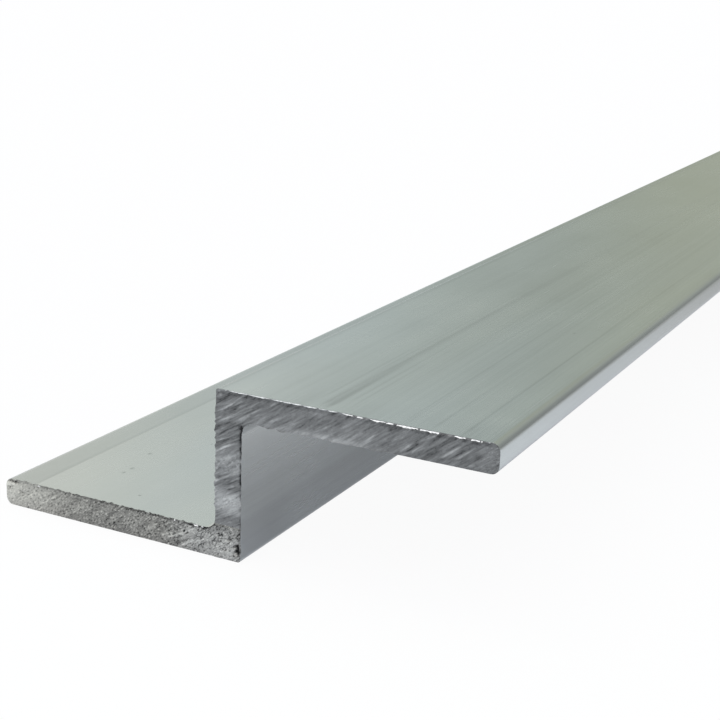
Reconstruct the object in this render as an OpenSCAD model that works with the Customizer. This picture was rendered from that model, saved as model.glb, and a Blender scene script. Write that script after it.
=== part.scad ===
// Aluminium Z section, mill finish, sawn to length.
// It stands on its lower flange. The web rises from that flange's right edge and
// carries the upper flange, which runs the other way. Millimetres, +Z up, length along Y.
// The origin is on the floor, under the middle of the web, at half the length.

/* [Section] */
// Width of the lower flange, measured over the web
lower_flange_w = 30; // [12:0.5:60]
// Width of the upper flange, measured over the web
upper_flange_w = 30; // [12:0.5:60]
// Height over both flanges
height = 18; // [12:0.5:60]
// Thickness of the lower flange
lower_flange_t = 3; // [2:0.1:4.5]
// Thickness of the upper flange
upper_flange_t = 3; // [2:0.1:4.5]
// Thickness of the web
web_t = 3; // [2:0.1:5]

/* [Corners] */
// Fillet in the two inside corners, where a flange meets the web
fillet_r = 1.2; // [0.4:0.1:1.5]
// Rounding of both corners of a flange's free edge
tip_r = 0.8; // [0.1:0.05:0.9]
// Rounding of the two outside corners, where a flange meets the web
heel_r = 0.3; // [0.1:0.05:0.9]

/* [Cut] */
// Length between the two sawn ends
length = 500; // [100:10:3000]

/* [Hidden] */

$fn = 48;
mill_finish = [0.70, 0.73, 0.70];

// How far a corner piece reaches past the two edges that it lies against
lap = 0.2;

// The two faces of the web
web_left = -web_t / 2;
web_right = web_t / 2;

// What lies between a square corner at the origin and an arc of radius r that
// touches both of its edges, which run along +X and +Y
module corner(r) {
    difference() {
        translate([-lap, -lap]) square(r + lap);
        translate([r, r]) circle(r);
    }
}

// One flange as the lower one lies, with its heel at the web's right face: the
// free edge and the heel are rounded, and the inside corner is filled to its radius
module flange(w, t) {
    difference() {
        translate([web_right - w, 0]) square([w, t]);
        translate([web_right - w, 0]) corner(tip_r);
        translate([web_right - w, t]) mirror([0, 1]) corner(tip_r);
        translate([web_right, 0]) mirror([1, 0]) corner(heel_r);
    }
    translate([web_left, t]) mirror([1, 0]) corner(fillet_r);
}

// The web, between the middles of the two flanges
module web() {
    translate([web_left, lower_flange_t / 2])
        square([web_t, height - lower_flange_t / 2 - upper_flange_t / 2]);
}

// The upper flange is the lower one's shape, turned half round about the web
module section() {
    flange(lower_flange_w, lower_flange_t);
    web();
    translate([0, height]) rotate(180) flange(upper_flange_w, upper_flange_t);
}

module z_profile() {
    color(mill_finish)
        rotate([90, 0, 0])
            linear_extrude(height = length, center = true)
                section();
}

z_profile();
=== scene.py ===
import math

import bmesh
import bpy
from mathutils import Matrix, Vector, noise


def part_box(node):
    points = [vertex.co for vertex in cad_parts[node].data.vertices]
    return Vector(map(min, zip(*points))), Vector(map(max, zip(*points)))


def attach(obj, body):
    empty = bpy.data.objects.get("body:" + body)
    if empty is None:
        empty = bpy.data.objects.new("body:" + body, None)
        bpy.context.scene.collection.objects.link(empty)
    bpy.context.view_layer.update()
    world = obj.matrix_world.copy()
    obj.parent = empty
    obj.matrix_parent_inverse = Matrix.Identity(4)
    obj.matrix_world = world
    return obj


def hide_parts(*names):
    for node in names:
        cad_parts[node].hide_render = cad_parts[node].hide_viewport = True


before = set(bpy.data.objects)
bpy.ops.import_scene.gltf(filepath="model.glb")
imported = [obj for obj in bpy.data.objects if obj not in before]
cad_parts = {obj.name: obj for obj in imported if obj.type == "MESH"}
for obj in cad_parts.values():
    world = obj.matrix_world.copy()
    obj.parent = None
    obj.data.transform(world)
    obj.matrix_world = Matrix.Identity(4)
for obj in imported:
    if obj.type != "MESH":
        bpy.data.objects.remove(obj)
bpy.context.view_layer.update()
mm = 0.001
low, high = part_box("z_profile")
print("frame loaded, bar", [round(side / mm, 2) for side in high - low], "mm")


# small helpers for numbers, edit mode and nodes

def limit(value, least=0.0, most=1.0):
    return min(most, max(least, value))


def deselectAll():
    if bpy.context.object and bpy.context.object.mode != 'OBJECT':
        bpy.ops.object.mode_set(mode='OBJECT')
    bpy.ops.object.select_all(action='DESELECT')


def pickEdges(piece, wanted):
    bpy.ops.mesh.select_mode(type='EDGE')
    bpy.ops.mesh.select_all(action='DESELECT')
    mesh = bmesh.from_edit_mesh(piece.data)
    for edge in mesh.edges:
        if wanted(edge.verts[0].co, edge.verts[1].co):
            edge.select_set(True)
    bmesh.update_edit_mesh(piece.data)


def pickFaces(piece, wanted):
    bpy.ops.mesh.select_mode(type='FACE')
    bpy.ops.mesh.select_all(action='DESELECT')
    mesh = bmesh.from_edit_mesh(piece.data)
    for face in mesh.faces:
        if wanted(face.calc_center_median(), face.normal):
            face.select_set(True)
    bmesh.update_edit_mesh(piece.data)


def addNode(tree, kind, inputs=None, **settings):
    node = tree.nodes.new('ShaderNode' + kind)
    for name, value in settings.items():
        setattr(node, name, value)
    for name, value in (inputs or {}).items():
        if isinstance(value, bpy.types.NodeSocket):
            tree.links.new(value, node.inputs[name])
        else:
            node.inputs[name].default_value = value
    return node


def addMath(tree, operation, first, second):
    return addNode(tree, 'Math', {0: first, 1: second}, operation=operation).outputs[0]


def addRange(tree, value, fromLow, fromHigh, toLow, toHigh):
    node = addNode(tree, 'MapRange', {'Value': value, 'From Min': fromLow, 'From Max': fromHigh,
                                      'To Min': toLow, 'To Max': toHigh})
    return node.outputs['Result']


def addTint(tree, share, shade, tint):
    node = addNode(tree, 'Mix', {0: share, 6: shade, 7: (*tint, 1.0)},
                   data_type='RGBA', blend_type='MULTIPLY')
    return node.outputs[2]


def addNoise(tree, place, scale, detail=2.0, rough=0.5):
    spread = addNode(tree, 'Mapping', {'Vector': place, 'Scale': scale})
    return addNode(tree, 'TexNoise', {'Vector': spread.outputs['Vector'], 'Scale': 1.0,
                                      'Detail': detail, 'Roughness': rough}).outputs['Fac']


def addRamp(tree, value, stops):
    node = addNode(tree, 'ValToRGB', {'Fac': value})
    ramp = node.color_ramp
    while len(ramp.elements) < len(stops):
        ramp.elements.new(0.5)
    for element, (position, colour) in zip(ramp.elements, stops):
        element.position = position
        element.color = (*colour, 1.0)
    return node.outputs['Color']


def newMetal(name):
    material = bpy.data.materials.new(name)
    material.use_nodes = True
    tree = material.node_tree
    tree.nodes.clear()
    shader = addNode(tree, 'BsdfPrincipled', {'Metallic': 1.0})
    addNode(tree, 'OutputMaterial', {'Surface': shader.outputs['BSDF']})
    return material, tree, shader


# finishes

millFinish = {
    "dark": (0.385, 0.405, 0.415),
    "middle": (0.525, 0.55, 0.567),
    "light": (0.61, 0.635, 0.645),
    "tint": (1.0, 0.985, 0.935),       # warmer patches, and all of it far along the bar
    "tintFrom": (60.0, 150.0),         # in mm behind the near end
    "fineLines": (5200, 7, 5200),      # noise per metre, drawn out along the bar
    "bands": (420, 3, 420),
    "smudges": (85, 45, 85),
    "patches": (60, 12, 60),
    "fineTone": (0.25, 0.75, -0.10, 0.10),     # noise from and to, and the tone that it gives
    "bandTone": (0.25, 0.75, -0.11, 0.11),
    "smudgeTone": (0.25, 0.75, -0.13, 0.13),
    "pitTone": (0.35, 0.55, 0.1, 0.7),
    "patchShare": (0.35, 0.65, 0.0, 0.7),
    "specks": (                        # x, place behind the near end, z and size, in mm
        (-18.7, 8.1, 3.0, 0.40), (-18.6, 9.6, 3.0, 0.46), (-19.6, 14.5, 3.0, 0.42),
        (-13.2, 3.5, 3.0, 0.26), (-15.5, 21.0, 3.0, 0.22), (21.6, 40.0, 18.0, 0.25),
    ),
    "speckCore": 0.4,                  # share of a speck's size that is dark all over
    "roughness": (0.20, 0.30),
    "lineDepth": 0.8e-6,
}


def makeMillFinish(look):
    material, tree, shader = newMetal("mill_finish")
    place = addNode(tree, 'TexCoord').outputs['Object']
    fine = addNoise(tree, place, look["fineLines"], 3.0, 0.6)
    bands = addNoise(tree, place, look["bands"], 3.0, 0.5)
    smudges = addNoise(tree, place, look["smudges"], 4.0, 0.55)
    dieAndShadeTone = addNode(tree, 'Attribute', attribute_name="dieAndShadeTone").outputs['Fac']
    lineShare = addNode(tree, 'Attribute', attribute_name="lineShare").outputs['Fac']
    tone = addMath(tree, 'ADD', addRange(tree, fine, *look["fineTone"]),
                   addRange(tree, bands, *look["bandTone"]))
    tone = addMath(tree, 'MULTIPLY', tone, lineShare)
    tone = addMath(tree, 'ADD', tone, addRange(tree, smudges, *look["smudgeTone"]))
    # die tones, with the web's painted light and shade
    tone = addMath(tree, 'ADD', tone, dieAndShadeTone)

    # a few tiny pits
    pits = 0.0
    for x, back, z, size in look["specks"]:
        centre = (x * mm, low.y + back * mm, z * mm)
        away = addNode(tree, 'VectorMath', {0: place, 1: centre}, operation='DISTANCE').outputs['Value']
        core = look["speckCore"] * size * mm
        pits = addMath(tree, 'MAXIMUM', pits, addRange(tree, away, core, size * mm, 1.0, 0.0))
    chipped = addRange(tree, fine, *look["pitTone"])
    tone = addMath(tree, 'SUBTRACT', tone, addMath(tree, 'MULTIPLY', pits, chipped))

    tone = addMath(tree, 'ADD', tone, 0.5)
    shade = addRamp(tree, tone, [(0.0, look["dark"]), (0.5, look["middle"]), (1.0, look["light"])])
    patches = addRange(tree, addNoise(tree, place, look["patches"], 2.0, 0.5), *look["patchShare"])
    along = addNode(tree, 'SeparateXYZ', {'Vector': place}).outputs['Y']
    tintFrom, tintTo = (low.y + back * mm for back in look["tintFrom"])
    patches = addMath(tree, 'MAXIMUM', patches, addRange(tree, along, tintFrom, tintTo, 0.0, 1.0))
    tree.links.new(addTint(tree, patches, shade, look["tint"]), shader.inputs['Base Color'])
    rough = addRange(tree, addMath(tree, 'ADD', fine, smudges), 0.6, 1.4, *look["roughness"])
    tree.links.new(rough, shader.inputs['Roughness'])
    bump = addNode(tree, 'Bump', {'Strength': 1.0, 'Distance': look["lineDepth"], 'Height': fine})
    tree.links.new(bump.outputs['Normal'], shader.inputs['Normal'])
    return material


sawnEnd = {
    "slant": math.radians(30),          # of the blade's marks, from the flange
    "bend": (0.005, 2.2),               # they steepen past this, by so much per metre
    "fleckSlant": math.radians(40),
    # the end's dark ground is partly painted shade for a dark front that it would mirror, and its light
    # strokes partly painted highlight
    "dark": (0.026, 0.026, 0.028),
    "middle": (0.24, 0.244, 0.25),
    "light": (0.72, 0.73, 0.74),
    "tornTint": (1.0, 0.968, 0.885),
    "streaks": (300, 200, 3000),        # noise per metre, along and across the marks
    "strokes": (330, 200, 1900),
    "flecks": (3000, 200, 5600),
    "cracks": (1100, 200, 1900),
    "streakTone": (0.30, 0.70, -0.25, 0.25),   # noise from and to, and the tone that it gives
    "strokeTone": (0.35, 0.65, -0.05, 0.07),
    "fleckDark": (0.30, 0.44, -0.54, 0.0),
    "fleckLight": (0.54, 0.70, 0.0, 0.44),
    "crackTone": (0.004, 0.028, -0.55, 0.0),
    "crackBreaks": (0.42, 0.58, 1.0, 0.15),
    "streaksSmeared": (-1.0, 0.0, 0.2, 1.0),   # how torn from and to, and the share at both
    "streaksTorn": (0.0, 1.0, 1.0, 0.22),
    "strokeShare": (0.0, 0.4, 0.4, 1.0),
    "fleckShare": (0.65, 1.1, 0.19, 1.0),
    "crackShare": (1.0, 1.5, 0.0, 1.0),
    "dustFrom": (0.94, 1.0, 0.0, 1.0),
    "dustTo": (1.0, 1.5, 1.0, 0.5),
    "roughness": (0.36, 0.55),
    "streakHeight": 0.8,                # beside the flecks' height of 1
    "grainDepth": 1.6e-5,
}


def makeSawnEnd(look):
    material, tree, shader = newMetal("sawn_end")
    place = addNode(tree, 'TexCoord').outputs['Object']
    turned = addNode(tree, 'Mapping', {'Vector': place, 'Rotation': (0, look["slant"], 0)}).outputs['Vector']
    apart = addNode(tree, 'SeparateXYZ', {'Vector': turned}).outputs
    past = addMath(tree, 'MAXIMUM', addMath(tree, 'SUBTRACT', apart['X'], look["bend"][0]), 0.0)
    sweep = addMath(tree, 'MULTIPLY', addMath(tree, 'MULTIPLY', past, past), look["bend"][1])
    across = addMath(tree, 'SUBTRACT', apart['Z'], sweep)
    bent = addNode(tree, 'CombineXYZ', {'X': apart['X'], 'Y': apart['Y'], 'Z': across})
    steep = addNode(tree, 'Mapping', {'Vector': place, 'Rotation': (0, look["fleckSlant"], 0)})
    streaks = addNoise(tree, bent.outputs['Vector'], look["streaks"], 4.0, 0.62)
    strokes = addNoise(tree, steep.outputs['Vector'], look["strokes"], 2.0, 0.5)
    flecks = addNoise(tree, steep.outputs['Vector'], look["flecks"], 2.0, 0.6)
    cracks = addNoise(tree, steep.outputs['Vector'], look["cracks"], 1.0, 0.5)
    sawToneAndShade = addNode(tree, 'Attribute', attribute_name="sawToneAndShade").outputs['Fac']
    torn = addNode(tree, 'Attribute', attribute_name="sawGrain").outputs['Fac']
    clean = addMath(tree, 'MINIMUM', addRange(tree, torn, *look["streaksSmeared"]),
                    addRange(tree, torn, *look["streaksTorn"]))
    drawn = addMath(tree, 'MULTIPLY', addRange(tree, streaks, *look["streakTone"]), clean)
    short = addMath(tree, 'MULTIPLY', addRange(tree, strokes, *look["strokeTone"]),
                    addRange(tree, torn, *look["strokeShare"]))
    specks = addMath(tree, 'ADD', addRange(tree, flecks, *look["fleckDark"]),
                     addRange(tree, flecks, *look["fleckLight"]))
    specks = addMath(tree, 'MULTIPLY', specks, addRange(tree, torn, *look["fleckShare"]))
    ridge = addMath(tree, 'ABSOLUTE', addMath(tree, 'SUBTRACT', cracks, 0.5), 0.0)
    split = addMath(tree, 'MULTIPLY', addRange(tree, ridge, *look["crackTone"]),
                    addRange(tree, torn, *look["crackShare"]))
    split = addMath(tree, 'MULTIPLY', split, addRange(tree, strokes, *look["crackBreaks"]))
    tone = addMath(tree, 'ADD', addMath(tree, 'ADD', drawn, short), addMath(tree, 'ADD', specks, split))
    # saw tones, with painted shade under the lips and in the chips
    tone = addMath(tree, 'ADD', tone, sawToneAndShade)
    shade = addRamp(tree, tone, [(0.0, look["dark"]), (0.4, look["middle"]), (1.0, look["light"])])
    dust = addMath(tree, 'MINIMUM', addRange(tree, torn, *look["dustFrom"]),
                   addRange(tree, torn, *look["dustTo"]))
    tree.links.new(addTint(tree, dust, shade, look["tornTint"]), shader.inputs['Base Color'])
    rough = addRange(tree, flecks, 0.3, 0.7, *look["roughness"])
    tree.links.new(rough, shader.inputs['Roughness'])
    height = addMath(tree, 'ADD', addMath(tree, 'MULTIPLY', streaks, look["streakHeight"]), flecks)
    bump = addNode(tree, 'Bump', {'Strength': 1.0, 'Distance': look["grainDepth"], 'Height': height})
    tree.links.new(bump.outputs['Normal'], shader.inputs['Normal'])
    return material


freshBurr = {
    "dark": (0.55, 0.56, 0.57),
    "light": (0.9, 0.905, 0.91),
    "fleck": (4200, 4200, 4200),
    "roughness": 0.3,
}


def makeFreshBurr(look):
    material, tree, shader = newMetal("fresh_burr")
    place = addNode(tree, 'TexCoord').outputs['Object']
    fleck = addNoise(tree, place, look["fleck"], 2.0, 0.5)
    shade = addRamp(tree, fleck, [(0.35, look["dark"]), (0.6, look["light"])])
    tree.links.new(shade, shader.inputs['Base Color'])
    shader.inputs['Roughness'].default_value = look["roughness"]
    return material


millMetal = makeMillFinish(millFinish)
sawnMetal = makeSawnEnd(sawnEnd)
burrMetal = makeFreshBurr(freshBurr)
print("finishes made")


# the bar, as extruded: a web block with a flange drawn out of each side

bar = {
    "wall": 3.0 * mm,                  # flanges and web alike
    "tipRound": 0.8 * mm,
    "heelRound": 0.3 * mm,
    "fillet": 1.2 * mm,
    "spare": 1.0 * mm,                 # over the length at each end, for the saw
    "column": 0.15 * mm,               # one die line's width
    "endLoops": (0.7, 2.6, 6.0, 12.0, 18.0, 28.0),     # loops behind each end, in mm
    "loopStep": 30.0,                  # and then along the bar
    "lineDepth": 0.0014,               # die lines, in mm
    "smooth": math.radians(35),
}
halfWeb = bar["wall"] / 2
footTop = low.z + bar["wall"]          # top of the lower flange
headUnder = high.z - bar["wall"]       # underside of the upper flange


def near(value, target):
    return abs(value - target) < 1e-6


def alongBar(a, b, x, z):
    return near(a.x, x) and near(b.x, x) and near(a.z, z) and near(b.z, z) and not near(a.y, b.y)


def makeBar():
    deselectAll()
    bpy.ops.mesh.primitive_cube_add(size=1.0, location=(0, (low.y + high.y) / 2, (low.z + high.z) / 2))
    piece = bpy.context.object
    piece.name = piece.data.name = "z_bar"
    piece.scale = (bar["wall"], high.y - low.y + 2 * bar["spare"], high.z - low.z)
    bpy.ops.object.transform_apply(location=True, rotation=True, scale=True)
    bpy.ops.object.mode_set(mode='EDIT')
    for z in (footTop, headUnder):
        bpy.ops.mesh.select_all(action='SELECT')
        bpy.ops.mesh.bisect(plane_co=(0, 0, z), plane_no=(0, 0, 1), threshold=1e-6)
    pickFaces(piece, lambda c, n: n.x < -0.9 and c.z < footTop)
    bpy.ops.mesh.extrude_region_move(TRANSFORM_OT_translate={"value": (low.x + halfWeb, 0, 0)})
    pickFaces(piece, lambda c, n: n.x > 0.9 and c.z > headUnder)
    bpy.ops.mesh.extrude_region_move(TRANSFORM_OT_translate={"value": (high.x - halfWeb, 0, 0)})
    bpy.ops.mesh.select_all(action='SELECT')
    bpy.ops.mesh.dissolve_limited(angle_limit=math.radians(1))

    # free edges, heels and inside corners take their radius
    rounds = (
        (bar["tipRound"], 6, [(low.x, low.z), (low.x, footTop), (high.x, headUnder), (high.x, high.z)]),
        (bar["heelRound"], 4, [(halfWeb, low.z), (-halfWeb, high.z)]),
        (bar["fillet"], 8, [(-halfWeb, footTop), (halfWeb, headUnder)]),
    )
    for radius, steps, corners in rounds:
        pickEdges(piece, lambda a, b: any(alongBar(a, b, x, z) for x, z in corners))
        bpy.ops.mesh.bevel(offset=radius, segments=steps, profile=0.5, affect='EDGES', clamp_overlap=False)

    # the flats become columns one die line wide
    endY = high.y + bar["spare"]
    atEnd = lambda a, b: near(abs(a.y), endY) and near(a.y, b.y)
    pickEdges(piece, lambda a, b: atEnd(a, b) and (a - b).length > 5 * mm)
    bpy.ops.mesh.subdivide(number_cuts=2)
    mesh = bmesh.from_edit_mesh(piece.data)
    widths = {round(e.calc_length() / mm, 3) for e in mesh.edges
              if atEnd(e.verts[0].co, e.verts[1].co) and e.calc_length() > 1 * mm}
    for width in sorted(widths):
        pickEdges(piece, lambda a, b: atEnd(a, b) and abs((a - b).length / mm - width) < 0.002)
        bpy.ops.mesh.subdivide(number_cuts=round(width * mm / bar["column"]) - 1)

    # loops across, close together behind the ends
    half = (high.y - low.y) / 2 / mm
    loops = [half - back for back in bar["endLoops"]]
    while loops[-1] > bar["loopStep"]:
        loops.append(loops[-1] - bar["loopStep"])
    for y in loops:
        for side in (-1, 1):
            bpy.ops.mesh.select_all(action='SELECT')
            bpy.ops.mesh.bisect(plane_co=(0, side * y * mm, 0), plane_no=(0, 1, 0), threshold=1e-6)
    bpy.ops.mesh.select_all(action='SELECT')
    bpy.ops.mesh.normals_make_consistent(inside=False)
    bpy.ops.object.mode_set(mode='OBJECT')
    for material in (millMetal, sawnMetal, burrMetal):
        piece.data.materials.append(material)
    print("bar drawn,", len(piece.data.vertices), "points")
    return piece


# die lines: each flat's columns stand a little higher or lower

flats = (   # axis that it faces along, which way, where it lies, from and to in mm across, its own lines
    ("z", 1, high.z, -1.2, 27.7, 1.0),
    ("z", 1, footTop, -27.7, -2.7, 2.0),
    ("z", -1, headUnder, 2.7, 27.7, 3.0),
    ("z", -1, low.z, -27.7, 1.2, 4.0),
    ("x", 1, halfWeb, 0.3, 13.8, 5.0),
    ("x", -1, -halfWeb, 4.2, 17.7, 6.0),
    ("x", 1, high.x, 15.8, 17.2, 7.0),
    ("x", -1, low.x, 0.8, 2.2, 8.0),
)
dieMarks = (   # flat, place across, half width, depth, all in mm, tone, from and to behind the near end
    (1.0, -1.00, 0.35, 0.000, -0.25, -2.0, 250.0),
    (1.0, 1.20, 1.30, 0.000, 0.14, -2.0, 9.0),
    (1.0, 7.60, 1.60, 0.000, -0.20, -2.0, 8.0),
    (1.0, 15.00, 3.00, 0.000, -0.14, -2.0, 4.0),
    (1.0, 25.50, 1.50, 0.000, -0.18, -2.0, 4.5),
    (1.0, 8.70, 0.16, 0.003, -0.20, 3.0, 45.0),
    (1.0, 9.25, 0.12, 0.003, -0.22, 12.0, 80.0),
    (1.0, 9.75, 0.22, 0.004, -0.26, 0.5, 15.0),
    (1.0, 10.25, 0.62, 0.002, -0.25, 0.0, 95.0),
    (1.0, 10.05, 0.14, 0.003, -0.24, 12.0, 80.0),
    (1.0, 10.60, 0.26, 0.008, -0.52, 0.5, 14.0),
    (1.0, 11.60, 0.13, 0.004, -0.22, 4.0, 36.0),
    (1.0, 12.40, 0.12, 0.003, -0.15, 4.0, 32.0),
    (1.0, 18.60, 0.14, 0.004, -0.22, 1.0, 75.0),
    (1.0, 19.50, 0.10, 0.003, -0.10, 3.0, 60.0),
    (1.0, 20.40, 0.10, 0.002, -0.12, 3.0, 40.0),
    (1.0, 21.60, 0.14, 0.005, -0.36, 0.0, 26.0),
    (1.0, 22.35, 0.10, 0.003, -0.10, 0.0, 50.0),
    (1.0, 23.30, 0.12, 0.003, -0.10, 0.0, 90.0),
    (1.0, 24.65, 0.18, 0.005, -0.32, 0.0, 80.0),
    (2.0, -24.55, 0.28, 0.010, -0.12, 0.0, 700.0),
)
dieAndShadeBands = (   # flat, from and to across in mm, tone at both, from and to behind the near end
    (2.0, -27.8, -24.4, -0.15, -0.18, -2.0, 900.0),
    (2.0, -24.4, -2.7, 0.14, 0.14, -2.0, 17.0),
    (1.0, 12.0, 27.7, 0.0, 0.28, 4.0, 75.0),
    (1.0, 25.3, 27.0, 0.06, 0.06, -2.0, 300.0),
    # painted light and shade: the web's right face (flat 5) is painted darker at its foot and lighter at its
    # top, and lighter low down from 9 mm behind the near end
    (5.0, 0.3, 13.9, -0.62, 0.40, -2.0, 900.0),
    (5.0, 0.3, 6.0, 0.24, 0.0, 9.0, 900.0),
)
lineStrengths = {2.0: 0.12, 5.0: 0.4, 6.0: 0.4}    # by flat, and 0.8 on the rest


def lineStrength(own, across):
    if own == 1.0:
        return limit((across - 5.0) / 10.0, 0.3, 0.85)     # the top has more of them to the right
    return lineStrengths.get(own, 0.8)


def flatOf(point):
    for axis, way, level, start, stop, own in flats:
        height, across = (point.z, point.x) if axis == "z" else (point.x, point.z)
        if abs(height - level) < 0.03 * mm and start + 0.02 < across / mm < stop - 0.02:
            return axis, way, across / mm, own
    return None


def fadeAt(back, start, stop):
    return limit((back - start) / 2.0) * max(0.0, 1.0 - (back / stop) ** 2)


def markShare(across, back, own):
    for flat, place, half, depth, tone, start, stop in dieMarks:
        if flat == own and abs(across - place) < 2 * half:
            yield math.exp(-((across - place) / half) ** 2) * fadeAt(back, start, stop), depth, tone


def drawDieLines(piece):
    for vertex in piece.data.vertices:
        found = flatOf(vertex.co)
        if not found:
            continue
        axis, way, across, own = found
        back = (vertex.co.y - low.y) / mm
        rise = noise.noise((across * 3.1, back * 0.004, own * 9.7))
        rise += 0.8 * noise.noise((across * 7.7, back * 0.006, own * 5.3))
        rise *= bar["lineDepth"] * lineStrength(own, across)
        rise -= sum(share * depth for share, depth, tone in markShare(across, back, own))
        if axis == "z":
            vertex.co.z += way * rise * mm
        else:
            vertex.co.x += way * rise * mm
    print("die lines drawn")


# saw cuts: a block whose face carries the blade's marks is taken off each end

saw = {
    "cell": (0.2, 0.06),               # grid, along and across the marks, in mm
    "margin": 0.5,                     # past the section
    "span": (60.0, 48.0),              # covers the section when turned
    "block": 3.0 * mm,
    "depth": 0.12,                     # of the face behind the burr's reach
    "depthLimits": (0.03, 0.6),
    "marks": 0.022,
    "scratches": 0.06,
    "scratchLevel": 0.3,
    "grain": 0.022,
    "grainAway": 0.35,                 # share of the grain that is left away from the foot
    "strokes": 0.06,
    "ragged": 0.16,                    # of the chips' outlines
    "wander": 0.05,                    # of the strokes
}
nearChips = (   # x, z, reach in x and z, depth, in mm, and tone, which is painted shade in the chip's hollow
    (1.20, 1.45, 0.24, 0.55, 0.40, -0.8),
    (1.00, 0.95, 0.28, 0.28, 0.30, -0.6),
    (0.75, 1.55, 0.3, 0.12, 0.15, -0.4),
    (0.15, 2.25, 0.35, 0.09, 0.15, -0.4),
    (-0.3, 1.1, 0.2, 0.14, 0.15, -0.35),
    (-1.2, 1.75, 0.16, 0.16, 0.12, -0.45),
    (-1.3, 0.35, 0.3, 0.1, 0.12, -0.35),
    (1.44, 14.05, 0.14, 0.28, 0.22, -0.6),
    (1.40, 14.6, 0.18, 0.14, 0.10, -0.25),
    (-3.13, 1.75, 0.16, 0.16, 0.12, -0.45),
    (-5.0, 1.9, 0.16, 0.14, 0.12, -0.45),
    (-8.5, 2.2, 0.35, 0.3, 0.06, -0.18),
    (-27.4, 2.72, 0.75, 0.08, 0.2, -0.7),
    (-28.1, 1.9, 0.12, 0.16, 0.15, -0.5),
    (-26.4, 1.75, 0.3, 0.1, 0.10, -0.35),
    (-22.5, 1.1, 0.25, 0.18, 0.12, -0.2),
    (-14.0, 0.6, 0.3, 0.15, 0.12, -0.2),
    (-1.30, 17.6, 0.12, 0.2, 0.05, -0.2),
    (-0.55, 17.6, 0.5, 0.12, 0.04, -0.15),
    (-1.25, 16.9, 0.25, 0.1, 0.04, -0.12),
)
nearStrokes = (   # from and to, x and z, half width, in mm, and tone; the light strokes are partly the saw's smear and partly painted highlight where the marks catch light
    (-1.1, 15.6, 0.8, 16.95, 0.09, 0.34),
    (0.6, 16.6, 1.7, 17.25, 0.07, 0.20),
    (-0.9, 15.2, 1.2, 16.45, 0.07, -0.20),
    (-1.35, 13.85, 4.4, 17.4, 0.08, -0.20),
    (-1.3, 14.6, 0.2, 15.5, 0.25, 0.13),
    (0.2, 14.9, 3.8, 16.8, 0.14, 0.12),
    (-1.45, 12.5, 0.3, 13.3, 0.06, 0.16),
    (-1.1, 11.65, 0.35, 12.6, 0.10, 0.40),
    (-1.3, 11.35, 0.1, 12.2, 0.06, -0.22),
    (-0.3, 12.0, 1.2, 13.0, 0.06, 0.18),
    (-1.0, 8.0, 0.6, 9.1, 0.06, 0.14),
    (-0.4, 8.0, 1.3, 8.95, 0.06, -0.18),
    (-1.3, 8.7, 0.2, 9.4, 0.06, -0.14),
    (-0.2, 7.55, 1.3, 8.1, 0.09, -0.24),
    (4.4, 15.5, 8.3, 17.4, 0.13, 0.13),
    (3.2, 15.9, 5.6, 17.4, 0.10, -0.08),
    (6.6, 15.5, 9.6, 17.2, 0.09, 0.11),
    (8.2, 16.0, 10.1, 17.4, 0.16, -0.16),
    (9.4, 15.4, 11.3, 16.5, 0.10, 0.12),
    (10.8, 16.4, 12.6, 17.6, 0.30, -0.14),
    (13.2, 15.4, 14.8, 16.7, 0.14, 0.13),
    (14.8, 15.3, 16.2, 16.6, 0.16, 0.16),
    (16.0, 15.3, 17.3, 16.4, 0.14, 0.13),
    (17.2, 17.3, 19.0, 17.6, 0.30, -0.18),
    (18.4, 15.2, 20.1, 16.5, 0.12, 0.36),
    (19.0, 15.2, 20.6, 16.6, 0.09, -0.18),
    (19.6, 15.3, 21.6, 17.1, 0.10, 0.22),
    (20.6, 16.7, 22.3, 17.7, 0.10, 0.24),
    (21.3, 15.4, 22.9, 16.5, 0.22, -0.06),
    (22.6, 15.4, 24.8, 17.1, 0.11, 0.28),
    (23.2, 15.3, 25.2, 16.8, 0.09, -0.15),
    (24.1, 15.6, 26.2, 17.2, 0.11, 0.24),
    (25.4, 15.3, 26.1, 15.5, 0.12, 0.22),
    (26.0, 16.2, 26.7, 16.6, 0.40, -0.10),
    (-26.2, 0.8, -24.4, 2.2, 0.10, 0.12),
    (-24.1, 0.9, -22.8, 1.4, 0.10, 0.34),
    (-23.1, 1.4, -21.6, 2.2, 0.10, 0.38),
    (-22.8, 1.55, -21.7, 1.95, 0.08, -0.34),
    (-21.9, 0.6, -20.0, 1.7, 0.12, -0.16),
    (-19.5, 0.8, -17.6, 2.2, 0.10, 0.13),
    (-17.8, 0.6, -15.9, 2.2, 0.12, -0.14),
    (-16.6, 0.7, -14.9, 2.2, 0.10, 0.10),
    (-15.3, 1.0, -13.4, 2.5, 0.14, -0.16),
    (-13.0, 0.7, -11.2, 2.2, 0.10, 0.14),
    (-11.4, 0.6, -9.6, 2.0, 0.12, -0.10),
    (-10.0, 0.9, -8.4, 2.2, 0.10, 0.16),
    (-8.1, 0.85, -6.5, 1.6, 0.11, 0.50),
    (-7.4, 0.7, -5.9, 1.45, 0.11, 0.48),
    (-6.2, 1.3, -4.0, 2.5, 0.10, 0.46),
    (-7.0, 1.6, -6.2, 2.0, 0.12, -0.22),
    (-6.5, 0.35, -5.0, 1.0, 0.14, -0.28),
    (-6.1, 0.0, -3.7, 1.45, 0.10, 0.40),
    (-3.6, 0.75, -2.5, 1.4, 0.09, -0.48),
    (-2.2, 1.3, -1.3, 2.2, 0.07, -0.34),
    (-1.0, 0.6, 0.2, 1.5, 0.10, 0.34),
    (-1.15, 2.3, -0.55, 2.7, 0.08, -0.36),
    (-0.05, 2.3, 0.65, 2.7, 0.08, -0.40),
    (-0.9, 1.0, -0.1, 1.4, 0.07, -0.26),
    (-5.0, 2.82, -2.7, 2.84, 0.09, -0.40),
    (-2.9, 2.86, -1.95, 3.12, 0.10, -0.45),
    (-2.1, 3.06, -1.6, 3.6, 0.09, -0.40),
)
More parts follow.
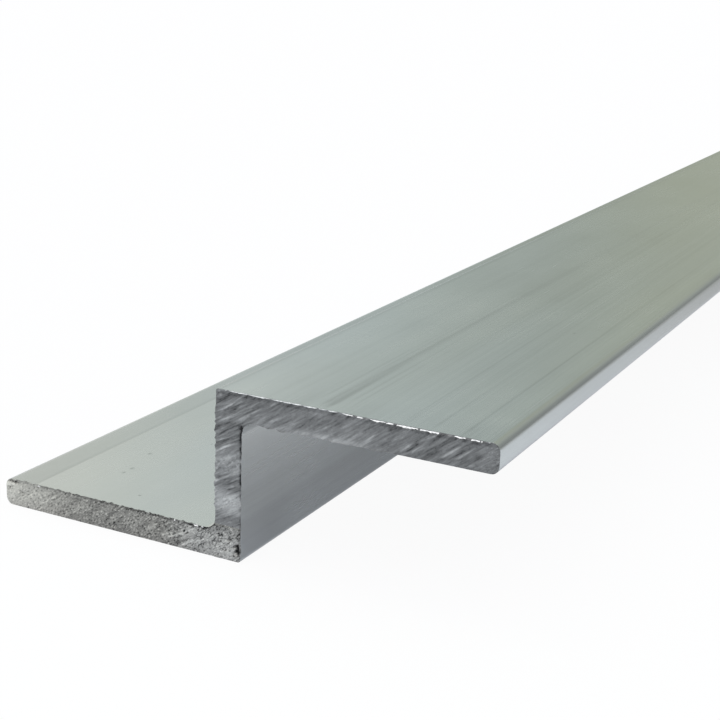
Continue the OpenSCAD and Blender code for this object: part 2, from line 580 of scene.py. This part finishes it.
nearPatches = (   # x, z, reach in x and z, in mm, and tone
    (-28.5, 1.3, 6.5, 3.0, 0.38),
    (-20.0, 1.5, 9.0, 3.0, 0.09),
    (-17.0, 1.5, 4.0, 3.0, 0.035),
    (-9.0, 1.5, 5.0, 3.0, 0.10),
    (-3.5, 1.2, 3.0, 2.0, 0.23),
    (0.2, 1.2, 1.8, 2.0, 0.36),
    (-0.4, 17.2, 1.6, 0.9, -0.07),
    (0.0, 6.7, 3.0, 0.75, 0.29),
    (0.0, 5.6, 3.0, 0.6, 0.27),
    (0.0, 4.5, 3.0, 0.5, -0.02),
    (0.0, 10.6, 3.0, 1.2, 0.18),
    (-0.6, 13.3, 1.2, 0.7, -0.05),
    (13.5, 16.5, 4.0, 2.0, 0.04),
    (22.0, 16.5, 5.0, 2.0, -0.06),
    (-1.4, 8.4, 0.14, 0.16, 0.40),
    (-1.4, 9.6, 0.14, 0.10, 0.30),
    (10.0, 15.1, 6.5, 0.4, 0.20),
    (-27.9, 2.42, 0.7, 0.14, 0.35),
    (-28.3, 2.3, 0.35, 0.3, 0.25),
    (-1.0, 17.45, 0.16, 0.14, 0.2),
    (-1.25, 17.75, 0.12, 0.10, 0.3),
)


def sawCoords(x, z):
    u = x * math.cos(sawnEnd["slant"]) + z * math.sin(sawnEnd["slant"])
    v = z * math.cos(sawnEnd["slant"]) - x * math.sin(sawnEnd["slant"])
    past = max(0.0, u - sawnEnd["bend"][0] / mm)
    return u, v - sawnEnd["bend"][1] * mm * past * past    # the blade's sweep is a wide arc


def chipShare(x, z, chip):
    placeX, placeZ, reachX, reachZ = chip[:4]
    if abs(x - placeX) > 3 * reachX + 0.5 or abs(z - placeZ) > 3 * reachZ + 0.5:
        return 0.0
    across = x - placeX + saw["ragged"] * noise.noise((x * 4.0, z * 4.0, 1.3))
    up = z - placeZ + saw["ragged"] * noise.noise((x * 4.0, z * 4.0, 8.9))
    return math.exp(-(across / reachX) ** 2 - (up / reachZ) ** 2)


def strokeShare(x, z, stroke):
    fromX, fromZ, toX, toZ, half = stroke[:5]
    if not min(fromX, toX) - 0.8 < x < max(fromX, toX) + 0.8:
        return 0.0
    run, rise = toX - fromX, toZ - fromZ
    share = limit(((x - fromX) * run + (z - fromZ) * rise) / (run * run + rise * rise))
    away = math.hypot(x - fromX - share * run, z - fromZ - share * rise)
    away += saw["wander"] * noise.noise((x * 3.0, z * 3.0, 6.1))
    if away > 2.5 * half:
        return 0.0
    taper = min(1.0, 5 * share, 5 * (1 - share))
    patchy = 0.8 + 0.6 * noise.noise((x * 2.0, z * 2.0, 3.3))
    return math.exp(-(away / half) ** 2) * taper * patchy


def sawDepth(x, z, seed, chips, strokes):
    u, v = sawCoords(x, z)
    marks = noise.noise((u * 0.10, v * 2.4, seed)) + 0.7 * noise.noise((u * 0.25, v * 5.6, seed + 4))
    scratch = max(0.0, noise.noise((u * 0.22, v * 8.5, seed + 9)) - saw["scratchLevel"])
    onFoot = limit((4.0 - z) / 3.0)
    grain = noise.noise((x * 4.5, z * 4.5, seed + 2)) + 0.6 * noise.noise((x * 10.0, z * 10.0, seed + 7))
    depth = saw["depth"] + saw["marks"] * marks + saw["scratches"] * scratch
    depth += saw["grain"] * grain * (saw["grainAway"] + (1 - saw["grainAway"]) * onFoot)
    depth += sum(chip[4] * chipShare(x, z, chip) for chip in chips)
    depth -= sum(saw["strokes"] * stroke[5] * strokeShare(x, z, stroke) for stroke in strokes)
    return limit(depth, *saw["depthLimits"])


def joinOrCut(piece, other, operation):
    for material in (millMetal, sawnMetal, burrMetal):
        other.data.materials.append(material)
    deselectAll()
    piece.select_set(True)
    bpy.context.view_layer.objects.active = piece
    work = piece.modifiers.new("work", 'BOOLEAN')
    work.operation, work.object, work.solver = operation, other, 'MANIFOLD'
    work.material_mode = 'INDEX'
    bpy.ops.object.modifier_apply(modifier=work.name)
    deselectAll()
    other.select_set(True)
    bpy.context.view_layer.objects.active = other
    bpy.ops.object.delete()


def cutEnd(piece, side, seed, chips, strokes):
    endY = high.y if side > 0 else low.y
    spanLong, spanWide = saw["span"]
    deselectAll()
    bpy.ops.mesh.primitive_grid_add(
        x_subdivisions=round(spanLong / saw["cell"][0]), y_subdivisions=round(spanWide / saw["cell"][1]),
        size=1.0, location=(0, endY, (low.z + high.z) / 2), rotation=(math.pi / 2, -sawnEnd["slant"], 0))
    block = bpy.context.object
    block.name = "saw_block"
    block.scale = (spanLong * mm, spanWide * mm, 1)
    bpy.ops.object.transform_apply(location=True, rotation=True, scale=True)
    bpy.ops.object.mode_set(mode='EDIT')
    margin = saw["margin"] * mm
    for place, away in (((low.x - margin, 0, 0), (-1, 0, 0)), ((high.x + margin, 0, 0), (1, 0, 0)),
                        ((0, 0, low.z - margin), (0, 0, -1)), ((0, 0, high.z + margin), (0, 0, 1))):
        bpy.ops.mesh.select_all(action='SELECT')
        bpy.ops.mesh.bisect(plane_co=place, plane_no=away, clear_outer=True, threshold=1e-7)
    bpy.ops.object.mode_set(mode='OBJECT')
    for vertex in block.data.vertices:
        x, z = vertex.co.x / mm, vertex.co.z / mm
        vertex.co.y = endY - side * sawDepth(x, z, seed, chips, strokes) * mm
    bpy.ops.object.mode_set(mode='EDIT')
    bpy.ops.mesh.select_all(action='SELECT')
    bpy.ops.mesh.extrude_region_move(TRANSFORM_OT_translate={"value": (0, side * saw["block"], 0)})
    bpy.ops.mesh.select_all(action='SELECT')
    bpy.ops.mesh.normals_make_consistent(inside=False)
    bpy.ops.object.mode_set(mode='OBJECT')
    block.data.polygons.foreach_set("material_index", [1] * len(block.data.polygons))
    joinOrCut(piece, block, 'DIFFERENCE')
    print("end sawn,", len(piece.data.polygons), "faces")


# burrs: thin lips that the blade left along the rims

burr = {
    "step": 0.12,                      # length of one facet, in mm
    "root": (-0.22, 0.16),             # out of the section and into the bar, in mm
    "tail": (-0.25, 0.45),
    "flush": ((-0.03, 0.13), (-0.004, 0.15)),      # the crest where there is no burr
    "taper": 1.5,                      # of a long lip's ends, in mm
}
# from, to, way out, crest in front and behind, strength, raggedness, waves per mm, share of bright metal
lips = (
    ((-0.6, 18.0), (12.6, 18.0), (0, 1), ((-0.04, 0.06), (-0.004, 0.16)), 0.45, 0.50, 1.1, 0.8),
    ((12.2, 18.0), (27.8, 18.0), (0, 1), ((-0.20, 0.0), (-0.004, 0.17)), 0.70, 0.6, 1.7, 0.60),
    ((3.0, 15.0), (18.5, 15.0), (0, -1), ((0.18, 0.06), (0.13, 0.18)), 0.3, 0.7, 0.9, 0.0),
    ((-27.6, 3.0), (-2.8, 3.0), (0, 1), ((0.21, 0.03), (0.11, 0.2)), 0.30, 0.9, 2.0, 0.1),
    ((-24.2, 3.0), (-23.8, 3.0), (0, 1), ((-0.11, 0.03), (0.02, 0.2)), 0.9, 0.2, 2.0, 1.0),
    ((-6.5, 3.0), (-6.3, 3.0), (0, 1), ((-0.11, 0.03), (0.01, 0.2)), 0.9, 0.2, 2.0, 1.0),
    ((-4.1, 3.0), (-3.5, 3.0), (0, 1), ((-0.12, 0.02), (0.03, 0.2)), 1.0, 0.2, 2.0, 1.0),
    ((-3.15, 3.0), (-2.95, 3.0), (0, 1), ((-0.11, 0.03), (0.01, 0.2)), 0.8, 0.2, 2.0, 1.0),
    ((1.5, 0.5), (1.5, 13.7), (1, 0), ((0.15, 0.05), (0.04, 0.2)), 0.2, 0.8, 1.1, 0.0),
    ((-1.5, 4.3), (-1.5, 17.4), (-1, 0), ((0.18, 0.04), (0.08, 0.2)), 0.3, 0.9, 1.6, 0.1),
)


def addLip(piece, side, lip, seed):
    start, stop, out, crests, strength, ragged, pace, bright = lip
    endY = high.y if side > 0 else low.y
    start, stop, out = Vector(start), Vector(stop), Vector(out)
    length = (stop - start).length
    taper = min(burr["taper"], length / 4)
    deselectAll()
    bpy.ops.mesh.primitive_cube_add(size=1.0)
    strip = bpy.context.object
    bpy.ops.object.mode_set(mode='EDIT')
    for cuts in (3, round(length / 4 / burr["step"])):
        pickEdges(strip, lambda a, b: not near(a.x, b.x))
        bpy.ops.mesh.subdivide(number_cuts=cuts)
    bpy.ops.object.mode_set(mode='OBJECT')
    for vertex in strip.data.vertices:
        s = (vertex.co.x + 0.5) * length
        wave = noise.noise((s * pace, 2.0, seed)) + 0.7 * noise.noise((s * pace * 2.8, 5.0, seed))
        ends = min(1.0, s / taper, (length - s) / taper)
        along = s / length
        h = limit(strength + ragged * wave) * ends
        crest = 0 if vertex.co.y < 0 else 1
        if vertex.co.z > 0:
            flush, full = Vector(burr["flush"][crest]), Vector(crests[crest])
            reach = flush + (full - flush) * h
        else:
            reach = Vector(burr["root"] if crest == 0 else burr["tail"])
        place = start + (stop - start) * along + out * reach.x
        vertex.co = (place.x * mm, endY - side * reach.y * mm, place.y * mm)
    bpy.ops.object.mode_set(mode='EDIT')
    bpy.ops.mesh.select_all(action='SELECT')
    bpy.ops.mesh.normals_make_consistent(inside=False)
    bpy.ops.object.mode_set(mode='OBJECT')
    for face in strip.data.polygons:
        s = (face.center.x + face.center.z) / mm
        face.material_index = 2 if noise.noise((s * pace, 9.0, seed)) < 2 * bright - 1 else 1
    joinOrCut(piece, strip, 'UNION')


# tones, wear, painted light and painted shade, kept with the mesh

dieTones = {
    "heel": -0.35,                     # worn dull
    "broad": 0.16,
    "narrow": 0.14,
}
# painted shade: thin dark lines on the end face under the lips of the foot, the web and the top
sawTonesAndShade = {
    "plain": 0.30,
    "footRimShade": (-14.0, 0.25, 0.14),    # painted shade under the foot's lip, darker by so much right and left of this x
    "webRimShade": 0.45,
    "topRimShade": (0.08, 0.14),
}


def dieAndShadeToneAt(point):
    found = flatOf(point)
    if not found:
        onHeel = point.x < -1.15 * mm and point.z > high.z - 0.4 * mm
        return dieTones["heel"] if onHeel else 0.0
    axis, way, across, own = found
    back = (point.y - low.y) / mm
    tone = dieTones["broad"] * noise.noise((across * 1.3, back * 0.006, own * 3.9))
    tone += dieTones["narrow"] * noise.noise((across * 4.3, back * 0.010, own * 7.1))
    tone *= lineStrength(own, across)
    # die bands, with the web's painted light and shade among them
    for flat, left, right, first, last, start, stop in dieAndShadeBands:
        if flat == own and left < across < right:
            band = first + (last - first) * (across - left) / (right - left)
            tone += band * fadeAt(back, start, stop)
    return tone + sum(share * mark for share, depth, mark in markShare(across, back, own))


def lineShareAt(point):
    found = flatOf(point)
    return lineStrength(found[3], found[2]) if found else 0.5


def sawToneAndShadeAt(point):
    x, z = point.x / mm, point.z / mm
    tone = sawTonesAndShade["plain"]
    if point.y < 0:
        for placeX, placeZ, reachX, reachZ, lift in nearPatches:
            tone += lift * math.exp(-((x - placeX) / reachX) ** 2 - ((z - placeZ) / reachZ) ** 2)
        # painted shade in the chips' hollows
        tone += sum(chip[5] * chipShare(x, z, chip) for chip in nearChips)
        # the saw's strokes, the light ones partly painted highlight
        tone += sum(stroke[5] * strokeShare(x, z, stroke) for stroke in nearStrokes)
    broken = noise.noise((x * 1.7, z * 1.7, 5.0 if point.y < 0 else 4.0))
    # painted shade: dark lines under the lips along the foot's top rim, the web's right rim and the top rim
    footEdge = footTop / mm - z
    if x < -2.6 and -0.2 < footEdge < 0.2 and broken > -0.2:
        border, rightOf, leftOf = sawTonesAndShade["footRimShade"]
        tone -= rightOf if x > border else leftOf
    if 2.6 < z < 14 and x < 1.7:
        upWeb = limit((z - 5.0) / 3.0, 0.35, 1.0)
        atRim = math.exp(-((1.46 - x) / 0.15) ** 2)
        tone -= sawTonesAndShade["webRimShade"] * upWeb * limit(0.6 + 1.1 * broken) * atRim
    if 17.5 < z < 17.88:
        tone -= sawTonesAndShade["topRimShade"][0] + sawTonesAndShade["topRimShade"][1] * broken
    return tone


tearing = {   # below 0 the metal is smeared, at 0 cleanly cut, at 1 torn, and at 1.5 cracked too
    "foot": 1.0,
    "footMiddle": (-21.0, 5.0, 0.1),   # from this x on, over so many mm, it is so much more torn
    "footRight": (-8.0, 4.0, 0.4),
    "footHeight": 4.2,
    "head": 0.55,
    "tip": 0.76,
    "heel": 0.7,
    "webBands": ((4.5, 0.5, 2, -0.5), (6.2, 1.0, 4, 0.82), (10.5, 1.2, 4, 0.8)),   # z, reach, power, how torn
    "webTop": 12.0,
}


def sawGrainAt(point):
    x, z = point.x / mm, point.z / mm
    footHeight = tearing["footHeight"]
    if point.y < 0 and footHeight < z < tearing["webTop"] and x < 1.7:
        level = z + 0.5 * noise.noise((x * 1.6, z * 1.6, 7.7)) - 0.25 * x
        return sum(torn * math.exp(-((level - place) / reach) ** power)
                   for place, reach, power, torn in tearing["webBands"])
    foot = tearing["foot"]
    for start, over, more in (tearing["footMiddle"], tearing["footRight"]):
        foot += more * limit((x - start) / over)
    foot *= limit((footHeight - z) / 0.8)
    head = tearing["head"] * limit((x - 1.0) / 3.0)
    tip = tearing["tip"] * math.exp(-((x - 28.4) / 2.1) ** 4)
    heel = tearing["heel"] * math.exp(-((x + 1.2) / 0.9) ** 2 - ((z - 17.7) / 0.7) ** 2)
    return max(foot, head, tip, heel)


def finishSurfaces(piece):
    mesh = piece.data
    rules = {"dieAndShadeTone": dieAndShadeToneAt, "lineShare": lineShareAt, "sawToneAndShade": sawToneAndShadeAt, "sawGrain": sawGrainAt}
    for name, rule in rules.items():
        layer = mesh.attributes.new(name, 'FLOAT', 'POINT')
        layer.data.foreach_set("value", [rule(vertex.co) for vertex in mesh.vertices])
    deselectAll()
    piece.select_set(True)
    bpy.context.view_layer.objects.active = piece
    bpy.ops.object.shade_smooth_by_angle(angle=bar["smooth"])
    triangles = sum(len(face.vertices) - 2 for face in mesh.polygons)
    print("surfaces finished,", triangles, "triangles")


zBar = makeBar()
drawDieLines(zBar)
cutEnd(zBar, -1, 11.0, nearChips, nearStrokes)
cutEnd(zBar, 1, 47.0, (), ())
for side in (-1, 1):
    for number, lip in enumerate(lips):
        addLip(zBar, side, lip, 20.0 + 7.3 * number + side)
print("burrs added")
finishSurfaces(zBar)
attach(zBar, "root")
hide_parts("z_profile")


# floor, light and camera

studio = {
    "floorSize": 40.0,
    # painted light and shade: the floor's paint is bluish in front and darkens towards the back, in place of
    # the light's falloff
    "floor": ((0.08, (0.865, 0.90, 0.94)), (0.26, (0.725, 0.75, 0.78)), (0.41, (0.66, 0.68, 0.70)),
              (0.57, (0.53, 0.54, 0.55)), (0.73, (0.415, 0.42, 0.42)), (1.0, (0.35, 0.36, 0.35))),
    "floorPaintedFalloff": (-0.22, -0.04),       # painted shade: it gets darker towards the back
    "floorUnder": (0.81, 0.82, 0.91),  # painted light: under the upper flange it keeps one bluish colour that does not darken towards the back, so the web mirrors it lighter
    "underSide": (2.0, 14.0),          # which ends so far past it, in mm
    "underFront": 2.0,
    "floorDrop": 0.05,                 # below the bar, in mm
    "seenWhite": 0.94,                 # share of plain white where the camera sees the floor
    "mirroredWhite": 0.25,             # and where the metal mirrors it
    "dimSide": (0.42, 0.90, 0.14),     # the studio is dim behind the bar, and bright elsewhere
    "sides": ((0.0, (0.95, 0.96, 0.96)), (0.30, (0.90, 0.91, 0.88)), (0.44, (0.89, 0.90, 0.82)),
              (0.49, (0.785, 0.83, 0.765)), (0.55, (0.74, 0.795, 0.76)), (0.64, (0.58, 0.65, 0.625)),
              (0.72, (0.445, 0.495, 0.445)), (0.78, (0.475, 0.51, 0.41)), (0.84, (0.495, 0.525, 0.44)),
              (0.91, (0.485, 0.515, 0.455)), (0.96, (0.43, 0.455, 0.42)), (1.0, (0.32, 0.335, 0.325))),
    "overhead": ((0.5, (0.0, 0.0, 0.0)), (0.9, (0.55, 0.55, 0.56))),
}


def makeFloor():
    deselectAll()
    floorZ = low.z - studio["floorDrop"] * mm
    bpy.ops.mesh.primitive_plane_add(size=studio["floorSize"], location=(0, 0, floorZ))
    floor = bpy.context.object
    floor.name = "floor"
    bpy.ops.object.transform_apply(location=True, rotation=True, scale=True)
    material = bpy.data.materials.new("pale_floor")
    material.use_nodes = True
    tree = material.node_tree
    tree.nodes.clear()
    rays = addNode(tree, 'LightPath').outputs
    mirrored = addMath(tree, 'MAXIMUM', rays['Is Glossy Ray'], rays['Is Transmission Ray'])
    share = addMath(tree, 'ADD', addMath(tree, 'MULTIPLY', rays['Is Camera Ray'], studio["seenWhite"]),
                    addMath(tree, 'MULTIPLY', mirrored, studio["mirroredWhite"]))
    spot = addNode(tree, 'SeparateXYZ', {'Vector': addNode(tree, 'TexCoord').outputs['Object']}).outputs
    # painted shade: darker towards the back
    depth = addRange(tree, spot['Y'], *studio["floorPaintedFalloff"], 0.0, 1.0)
    sideFrom, sideTo = (high.x + past * mm for past in studio["underSide"])
    front = studio["underFront"] * mm
    # painted light: one bluish, unfaded colour behind the near end, up to just past the upper flange
    under = addMath(tree, 'MULTIPLY', addRange(tree, spot['X'], sideFrom, sideTo, 1.0, 0.0),
                    addRange(tree, spot['Y'], low.y - front, low.y + front, 0.0, 1.0))
    pale = addRamp(tree, depth, studio["floor"])
    colour = addNode(tree, 'Mix', {0: under, 6: pale, 7: (*studio["floorUnder"], 1.0)}, data_type='RGBA')
    paint = addNode(tree, 'BsdfDiffuse', {'Color': colour.outputs[2]})
    white = addNode(tree, 'Emission', {'Color': (1.0, 1.0, 1.0, 1.0), 'Strength': 1.0})
    blend = addNode(tree, 'MixShader', {0: share, 1: paint.outputs['BSDF'], 2: white.outputs['Emission']})
    addNode(tree, 'OutputMaterial', {'Surface': blend.outputs['Shader']})
    floor.data.materials.append(material)


def makeSky():
    world = bpy.data.worlds.new("studio_sky")
    bpy.context.scene.world = world
    world.use_nodes = True
    tree = world.node_tree
    tree.nodes.clear()
    direction = addNode(tree, 'TexCoord').outputs['Generated']
    height = addNode(tree, 'SeparateXYZ', {'Vector': direction}).outputs['Z']
    dimWay = Vector(studio["dimSide"]).normalized()
    turned = addNode(tree, 'VectorMath', {0: direction, 1: dimWay}, operation='DOT_PRODUCT').outputs['Value']
    sides = addNode(tree, 'Background', {'Color': addRamp(tree, turned, studio["sides"])})
    overhead = addNode(tree, 'Background', {'Color': addRamp(tree, height, studio["overhead"])})
    both = addNode(tree, 'AddShader', {0: sides.outputs['Background'], 1: overhead.outputs['Background']})
    addNode(tree, 'OutputWorld', {'Surface': both.outputs['Shader']})


viewpoint = {
    "lens": 71.105,
    "sensor": 36.0,
    "clip": (0.01, 50.0),
    "place": (0.070589, -0.362205, 0.060639),
    "right": (0.88844, 0.45769, 0.03458),
    "up": (-0.15947, 0.23715, 0.95829),
    "back": (0.43040, -0.85690, 0.28368),
}


def makeCamera():
    deselectAll()
    bpy.ops.object.camera_add()
    camera = bpy.context.object
    camera.data.lens = viewpoint["lens"]
    camera.data.sensor_fit = 'HORIZONTAL'
    camera.data.sensor_width = viewpoint["sensor"]
    camera.data.clip_start, camera.data.clip_end = viewpoint["clip"]
    turn = Matrix((viewpoint["right"], viewpoint["up"], viewpoint["back"])).transposed().to_4x4()
    camera.matrix_world = Matrix.Translation(Vector(viewpoint["place"])) @ turn
    bpy.context.scene.camera = camera


makeFloor()
makeSky()
makeCamera()
bpy.context.scene.view_settings.view_transform = 'Standard'
print("floor, light and camera set")
